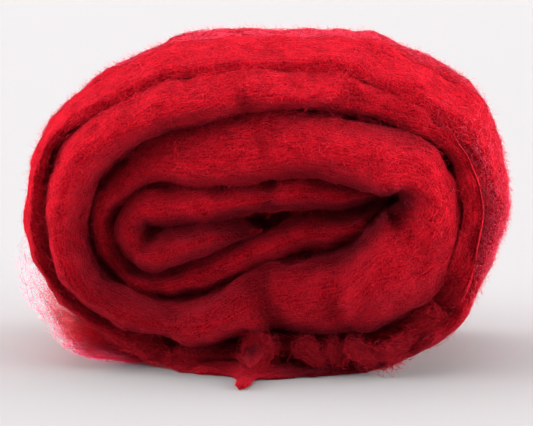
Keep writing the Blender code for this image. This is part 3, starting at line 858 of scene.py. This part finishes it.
def loose_film(material):
    """The web of the loose end as a closed thin sheet; its map holds how thinned out it is."""
    along, over, grid, normals = loose_grid(FILM_ROWS, FILM_COLUMNS, FILM_REACH)
    outer = grid + normals * FILM_THICKNESS / 2
    inner = (grid - normals * FILM_THICKNESS / 2)[:, ::-1]
    rings = np.concatenate([outer, inner], axis=1)
    rings[..., 2] = np.maximum(rings[..., 2], 0.0)
    edge = np.minimum(over, 1 - over) / FILM_EDGE
    thin = np.clip((along[:, None] / FILM_REACH - FILM_WHOLE) / (1 - FILM_WHOLE), 0, 1)
    sides = FILM_EDGE_THINNESS * (1 - ease(edge)) * (FILM_EDGE_LEAST + thin) ** 0.5
    thin = thin**FILM_THINNING + sides
    thin = np.concatenate([thin, thin[:, ::-1]], axis=1)
    rows, columns = rings.shape[:2]
    broad = grid_faces(rows, columns)
    column = np.arange(FILM_COLUMNS - 1)
    last = (rows - 1) * columns
    start = stacked(column, columns - 1 - column, columns - 2 - column, column + 1)
    end = stacked(column, column + 1, columns - 2 - column, columns - 1 - column) + last
    every = np.concatenate([broad, start, end])
    marks = stacked(0.0, thin).reshape(-1, 2)
    return wool_mesh("loose_web", rings.reshape(-1, 3), [every], material, marks)


# ---------------------------------------------------------------- materials

HOLLOW_SHADE = 0.1  # painted shade: the wool's colour deep in a hollow, as a share of its own
STREAKS_PER_METRE = (180.0, 2400.0, 0.0)  # along and across the winding
TONE_ENDS = (0.38, 0.62)  # values of the noise at which the wool is deep, and lit
WEB_LEVELS = (0.2, 0.7)  # a web's fibres lie where noise is over this, unthinned and all thinned out
WEB_EDGE = (-0.06, 0.08)  # how far over it alpha is 0, and 1
NUMBER, VECTOR, COLOUR = "NodeSocketFloat", "NodeSocketVector", "NodeSocketColor"


def fill(tree, node, values):
    """Sets the node's inputs by name, each to a value or to what another node puts out."""
    for name, value in values.items():
        if isinstance(value, bpy.types.NodeSocket):
            tree.links.new(value, node.inputs[name])
        else:
            node.inputs[name].default_value = value


def node_of(tree, kind, values=None, **settings):
    """A new node of that kind with its settings and its inputs."""
    node = tree.nodes.new(kind)
    for name, value in settings.items():
        setattr(node, name, value)
    fill(tree, node, values or {})
    return node


def mapped(tree, name):
    """A UV map's X and Y, by those names, as a new pair of nodes puts them out."""
    places = node_of(tree, "ShaderNodeUVMap", uv_map=name).outputs["UV"]
    return node_of(tree, "ShaderNodeSeparateXYZ", {"Vector": places}).outputs


def reckoned(tree, operation, first, second=0.0):
    values = {0: first, 1: second}
    return node_of(tree, "ShaderNodeMath", values, operation=operation).outputs[0]


def ranged(tree, value, ends, results, way="LINEAR"):
    """The value, drawn out so that its two ends become the two results."""
    values = {"Value": value, "From Min": ends[0], "From Max": ends[1]}
    values.update({"To Min": results[0], "To Max": results[1]})
    return node_of(tree, "ShaderNodeMapRange", values, interpolation_type=way).outputs["Result"]


def blended(tree, factor, low, high, kind="FLOAT"):
    values = {"Factor": factor, "A": low, "B": high}
    return node_of(tree, "ShaderNodeMix", values, data_type=kind).outputs["Result"]


def speckled(tree, size, detail, roughness):
    """Noise over the object, in cells as large as the size."""
    values = {"Vector": node_of(tree, "ShaderNodeTexCoord").outputs["Object"]}
    values["Scale"] = reckoned(tree, "DIVIDE", 1.0, size)
    values.update({"Detail": detail, "Roughness": roughness})
    return node_of(tree, "ShaderNodeTexNoise", values).outputs["Fac"]


def group_of(name, inputs, outputs):
    """A shader node group with those sockets, and what its input node puts out."""
    group = bpy.data.node_groups.new(name, "ShaderNodeTree")
    for socket_name, kind, value in inputs:
        socket = group.interface.new_socket(socket_name, in_out="INPUT", socket_type=kind)
        socket.default_value = value
    for socket_name, kind in outputs:
        group.interface.new_socket(socket_name, in_out="OUTPUT", socket_type=kind)
    return group, node_of(group, "NodeGroupInput").outputs


def wool_tone_group():
    """Carded wool's own unevenness: tangled fibre, loose clumps and streaks along the winding.

    Tone is from 0, where deep wool shows between the fibres, to 1 on the lit ones. Hollow is
    painted shade, which darkens the colour.
    """
    inputs = (
        ("Deep", COLOUR, (0.3, 0.0, 0.0, 1)),
        ("Lit", COLOUR, (0.7, 0.0, 0.0, 1)),
        ("Fibre Size", NUMBER, 0.0005),
        ("Clump Size", NUMBER, 0.004),
        ("Clump Share", NUMBER, 0.3),
        ("Hollow", NUMBER, 0.0),
        ("Own Tone", NUMBER, 0.5),
        ("Own Share", NUMBER, 0.0),
        ("Winding", VECTOR, (0.0, 0.0, 0.0)),
        ("Streak Share", NUMBER, 0.0),
    )
    group, given = group_of("wool tone", inputs, (("Color", COLOUR), ("Tone", NUMBER)))
    fine = speckled(group, given["Fibre Size"], 3.0, 0.7)
    clumps = speckled(group, given["Clump Size"], 2.0, 0.5)
    both = blended(group, given["Clump Share"], fine, clumps)
    values = {0: given["Winding"], 1: STREAKS_PER_METRE}
    stretch = node_of(group, "ShaderNodeVectorMath", values, operation="MULTIPLY")
    values = {"Vector": stretch.outputs["Vector"], "Scale": 1.0, "Detail": 3.0, "Distortion": 0.6}
    streaks = node_of(group, "ShaderNodeTexNoise", values)
    drawn = blended(group, given["Streak Share"], both, streaks.outputs["Fac"])
    tone = ranged(group, drawn, TONE_ENDS, (0, 1))
    tone = blended(group, given["Own Share"], tone, given["Own Tone"])
    wool = blended(group, tone, given["Deep"], given["Lit"], "RGBA")
    # the colour darkened by the painted shade
    values = {"Vector": wool, "Scale": ranged(group, given["Hollow"], (0, 1), (1, HOLLOW_SHADE))}
    shaded = node_of(group, "ShaderNodeVectorMath", values, operation="SCALE")
    node_of(group, "NodeGroupOutput", {"Color": shaded.outputs["Vector"], "Tone": tone})
    return group


def web_group():
    """Holes of a thinned web of wool: Alpha is 1 on the fibres, by how thinned out it is."""
    inputs = (("Thinness", NUMBER, 0.5), ("Mesh Size", NUMBER, 0.0006))
    group, given = group_of("wool web", inputs, (("Alpha", NUMBER),))
    fibres = speckled(group, given["Mesh Size"], 4.0, 0.7)
    level = ranged(group, given["Thinness"], (0, 1), WEB_LEVELS)
    past = reckoned(group, "SUBTRACT", fibres, level)
    node_of(group, "NodeGroupOutput", {"Alpha": ranged(group, past, WEB_EDGE, (0, 1))})
    return group


# A wool's colours, deep between the fibres and lit on them. Then the shares of its tone: a fibre's
# own, the streaks drawn along the winding, and loose clumps. Then its sheen, the height of its
# fibres as relief, in metres, and how much light comes through it.
Look = namedtuple("Look", "deep lit own streaks clumps sheen relief translucent")

# The strip's own surface is darker than the fibres on it: painted shade in the gaps between them.
CRIMSON_WOOL = Look((0.16, 0.0006, 0.003), (0.68, 0.008, 0.02), 0.0, 0.3, 0.25, 0.3, 0.0005, 0)
FACE_FIBRE = Look((0.36, 0.004, 0.01), (0.95, 0.026, 0.05), 0.55, 0.0, 0.2, 0.3, 0, 0)
# A darker copy of the face's fibre for the roll's outside and back: painted shade on its lit top.
OUTER_FIBRE = Look((0.22, 0.003, 0.009), (0.5, 0.02, 0.038), 0.55, 0.0, 0.2, 1.0, 0, 0)
# A paler, pinker copy for the fuzz on the outside and the right rim: painted rim light.
RIM_FIBRE = Look((0.5, 0.02, 0.05), (0.95, 0.1, 0.18), 0.7, 0.0, 0.2, 1.0, 0, 0)
# The loose end's wool is paler and brighter: partly thinned wool, partly painted light through it.
THINNED_WOOL = Look((0.85, 0.012, 0.03), (0.9, 0.06, 0.11), 0.85, 0.0, 0.3, 0.4, 0.0004, 0.9)
THINNED_FIBRE = Look((0.85, 0.012, 0.03), (0.95, 0.12, 0.2), 0.9, 0.0, 0.3, 1.0, 0, 0.9)

SHEEN_TINT = (1.0, 0.08, 0.14, 1)
SHEEN_ROUGHNESS = 0.4
TRANSLUCENT_REACH = (0.004, 0.0008, 0.0012)


def wool_material(name, tone_group, look):
    material = bpy.data.materials.new(name)
    material.use_nodes = True
    tree = material.node_tree
    marks = mapped(tree, "marks")
    values = {
        "Deep": (*look.deep, 1),
        "Lit": (*look.lit, 1),
        "Clump Share": look.clumps,
        "Own Share": look.own,
        "Streak Share": look.streaks,
        "Winding": node_of(tree, "ShaderNodeUVMap", uv_map="winding").outputs["UV"],
        # painted shade, from the marks map
        "Hollow": marks["X"],
        "Own Tone": marks["Y"],
    }
    tone = node_of(tree, "ShaderNodeGroup", values, node_tree=tone_group).outputs
    values = {
        "Base Color": tone["Color"],
        "Roughness": 1.0,
        "Specular IOR Level": 0.0,
        "Sheen Weight": look.sheen,
        "Sheen Roughness": SHEEN_ROUGHNESS,
        "Sheen Tint": SHEEN_TINT,
        "Subsurface Weight": look.translucent,
        "Subsurface Radius": TRANSLUCENT_REACH,
        "Subsurface Scale": 1.0,
    }
    if look.relief:
        relief = {"Strength": 1.0, "Distance": look.relief, "Height": tone["Tone"]}
        values["Normal"] = node_of(tree, "ShaderNodeBump", relief).outputs["Normal"]
    fill(tree, tree.nodes["Principled BSDF"], values)
    return material


def open_web(material):
    """Lets the material's wool open into a web where its map says that it is thinned out."""
    tree = material.node_tree
    thinness = mapped(tree, "marks")["Y"]
    web = node_of(tree, "ShaderNodeGroup", {"Thinness": thinness}, node_tree=web_group())
    fill(tree, tree.nodes["Principled BSDF"], {"Alpha": web.outputs["Alpha"]})


# ---------------------------------------------------------------- stage

CAMERA_PLACE = (25.35, -390.45, 114.13)
CAMERA_AIM = (0.0, -28.0, 43.5)
CAMERA_LENS = 100.0
FLOOR_SIZE = 12000.0
FLOOR_COLOUR = (0.31, 0.303, 0.307, 1)
SUN_PLACE = (-150, -150, 900)
SUN_STRENGTH = 1.9
SUN_SPREAD = 60  # degrees
# The room is bright behind the roll and at its sides, and dim in front of it.
ROOM_COLOUR = (1, 0.985, 0.99, 1)
ROOM_LIGHT = (0.28, 1.5)
ROOM_DEPTH = (-0.6, 0.5)  # Y parts of the directions where it is so
ROOM_SIDES = 22.0  # added at the far left and right
SIDES_FROM = 0.74  # X part of the direction from which it is


def placed(name, data, place, aim):
    """A new object of that data, at the place and turned to the aim."""
    thing = bpy.data.objects.new(name, data)
    bpy.context.scene.collection.objects.link(thing)
    thing.location = Vector(place) * MM
    heading = Vector(aim) - Vector(place)
    thing.rotation_euler = heading.to_track_quat("-Z", "Y").to_euler()
    return thing


def build_floor():
    paint = bpy.data.materials.new("pale floor")
    paint.use_nodes = True
    values = {"Base Color": FLOOR_COLOUR, "Roughness": 1.0, "Specular IOR Level": 0.1}
    fill(paint.node_tree, paint.node_tree.nodes["Principled BSDF"], values)
    corners = np.array([[-1, -1, 0], [1, -1, 0], [1, 1, 0], [-1, 1, 0]]) * FLOOR_SIZE / 2
    floor = wool_mesh("floor", corners, [np.array([[0, 1, 2, 3]])], paint)


def build_room():
    world = bpy.data.worlds.new("pale room")
    world.use_nodes = True
    tree = world.node_tree
    direction = node_of(tree, "ShaderNodeTexCoord").outputs["Generated"]
    parts = node_of(tree, "ShaderNodeSeparateXYZ", {"Vector": direction}).outputs
    light = ranged(tree, parts["Y"], ROOM_DEPTH, ROOM_LIGHT, "SMOOTHSTEP")
    aside = reckoned(tree, "ABSOLUTE", parts["X"])
    sides = ranged(tree, aside, (SIDES_FROM, 1), (0, ROOM_SIDES), "SMOOTHSTEP")
    values = {"Color": ROOM_COLOUR, "Strength": reckoned(tree, "ADD", light, sides)}
    fill(tree, tree.nodes["Background"], values)
    bpy.context.scene.world = world


def build_stage():
    build_floor()
    sun = bpy.data.lights.new("overhead", "SUN")
    sun.energy = SUN_STRENGTH
    sun.angle = math.radians(SUN_SPREAD)
    placed("overhead", sun, SUN_PLACE, (0, 0, 0))
    build_room()
    bpy.context.scene.view_settings.view_transform = "Standard"
    view = bpy.data.cameras.new("camera")
    view.lens = CAMERA_LENS
    bpy.context.scene.camera = placed("camera", view, CAMERA_PLACE, CAMERA_AIM)


# ---------------------------------------------------------------- the part


def dress_roll(tone):
    """The wound strip with its fibres; gives back the strip."""
    crimson = wool_material("crimson wool", tone, CRIMSON_WOOL)
    face_fibre = wool_material("crimson fibre", tone, FACE_FIBRE)
    outer_fibre = wool_material("outer crimson fibre", tone, OUTER_FIBRE)
    rim_fibre = wool_material("crimson rim fibre", tone, RIM_FIBRE)
    t, grid, creases = strip_grid()
    grid, winding = lift_strip(grid)
    field = face_field(grid, creases)
    roll = wound_strip(grid, winding, field, crimson)
    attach(roll, "root")
    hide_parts("roving_roll")

    normals = grid_normals(grid)
    front, outside, back, rim = strip_parts(t, grid)
    for order, (name, part, kind, fibre) in enumerate((
        ("front_nap", front, FRONT_NAP, face_fibre),
        ("front_fuzz", front, FRONT_FUZZ, face_fibre),
        ("outer_nap", outside, OUTER_NAP, outer_fibre),
        ("outer_strands", outside, OUTER_STRANDS, outer_fibre),
        ("back_nap", back, BACK_NAP, outer_fibre),
        ("outer_fuzz", outside, OUTER_FUZZ, rim_fibre),
        ("rim_fuzz", rim, RIM_FUZZ, rim_fibre),
    )):
        paths, ups = lay_fibres(grid, normals, True, part, kind, FIBRE_SEED + order)
        # only the front's fibres take the painted shade
        shaded = field if part is front else None
        seed = WIDTH_SEED + order
        fibres = fibre_spindles(name, paths, ups, kind.width, fibre, seed, shaded)
        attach(fibres, "root")
    for name, lay, kind, most in (
        ("front_veil", lay_veil, FRONT_VEIL, 1.0),
        ("locks", lay_locks, LOCK_FIBRES, LOCK_SHADE),
    ):
        paths, ups = lay(field, kind, VEIL_SEED)
        seed = VEIL_WIDTH_SEED
        fibres = fibre_spindles(name, paths, ups, kind.width, face_fibre, seed, field, most=most)
        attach(fibres, "root")
    return roll


def dress_loose_end(tone, roll):
    """The web that the strip ends in, with its loose fibres, laid against the roll."""
    thinned = wool_material("thinned crimson wool", tone, THINNED_WOOL)
    open_web(thinned)
    film = loose_film(thinned)
    along, over, grid, normals = loose_grid(FILM_ROWS, FILM_COLUMNS, LOOSE_FIBRE_REACH)
    sides = ease(np.minimum(over, 1 - over) / LOOSE_SIDE_RUN)
    sides = LOOSE_SIDE_SHARE + (1 - LOOSE_SIDE_SHARE) * sides
    weights = ((LOOSE_NONE_AT - along) ** LOOSE_SPARSENESS)[:, None] * sides
    pink_fibre = wool_material("thinned crimson fibre", tone, THINNED_FIBRE)
    outer = lay_fibres(grid, normals, False, weights, LOOSE_FIBRES, LOOSE_SEED)
    inner = lay_fibres(grid, -normals, False, weights, INNER_FIBRES, INNER_SEED)
    paths, ups = (np.concatenate(both) for both in zip(outer, inner))
    tones = np.clip((LOOSE_DENSE_X - paths[:, 0, 0]) / LOOSE_PALING, 0, 1)
    width = LOOSE_FIBRES.width
    seed = LOOSE_WIDTH_SEED
    fibres = fibre_spindles("loose_fibres", paths, ups, width, pink_fibre, seed, tones=tones)
    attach(film, "root")
    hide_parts("loose_end")
    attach(fibres, "root")


build_stage()
wool_tone = wool_tone_group()
dress_loose_end(wool_tone, dress_roll(wool_tone))
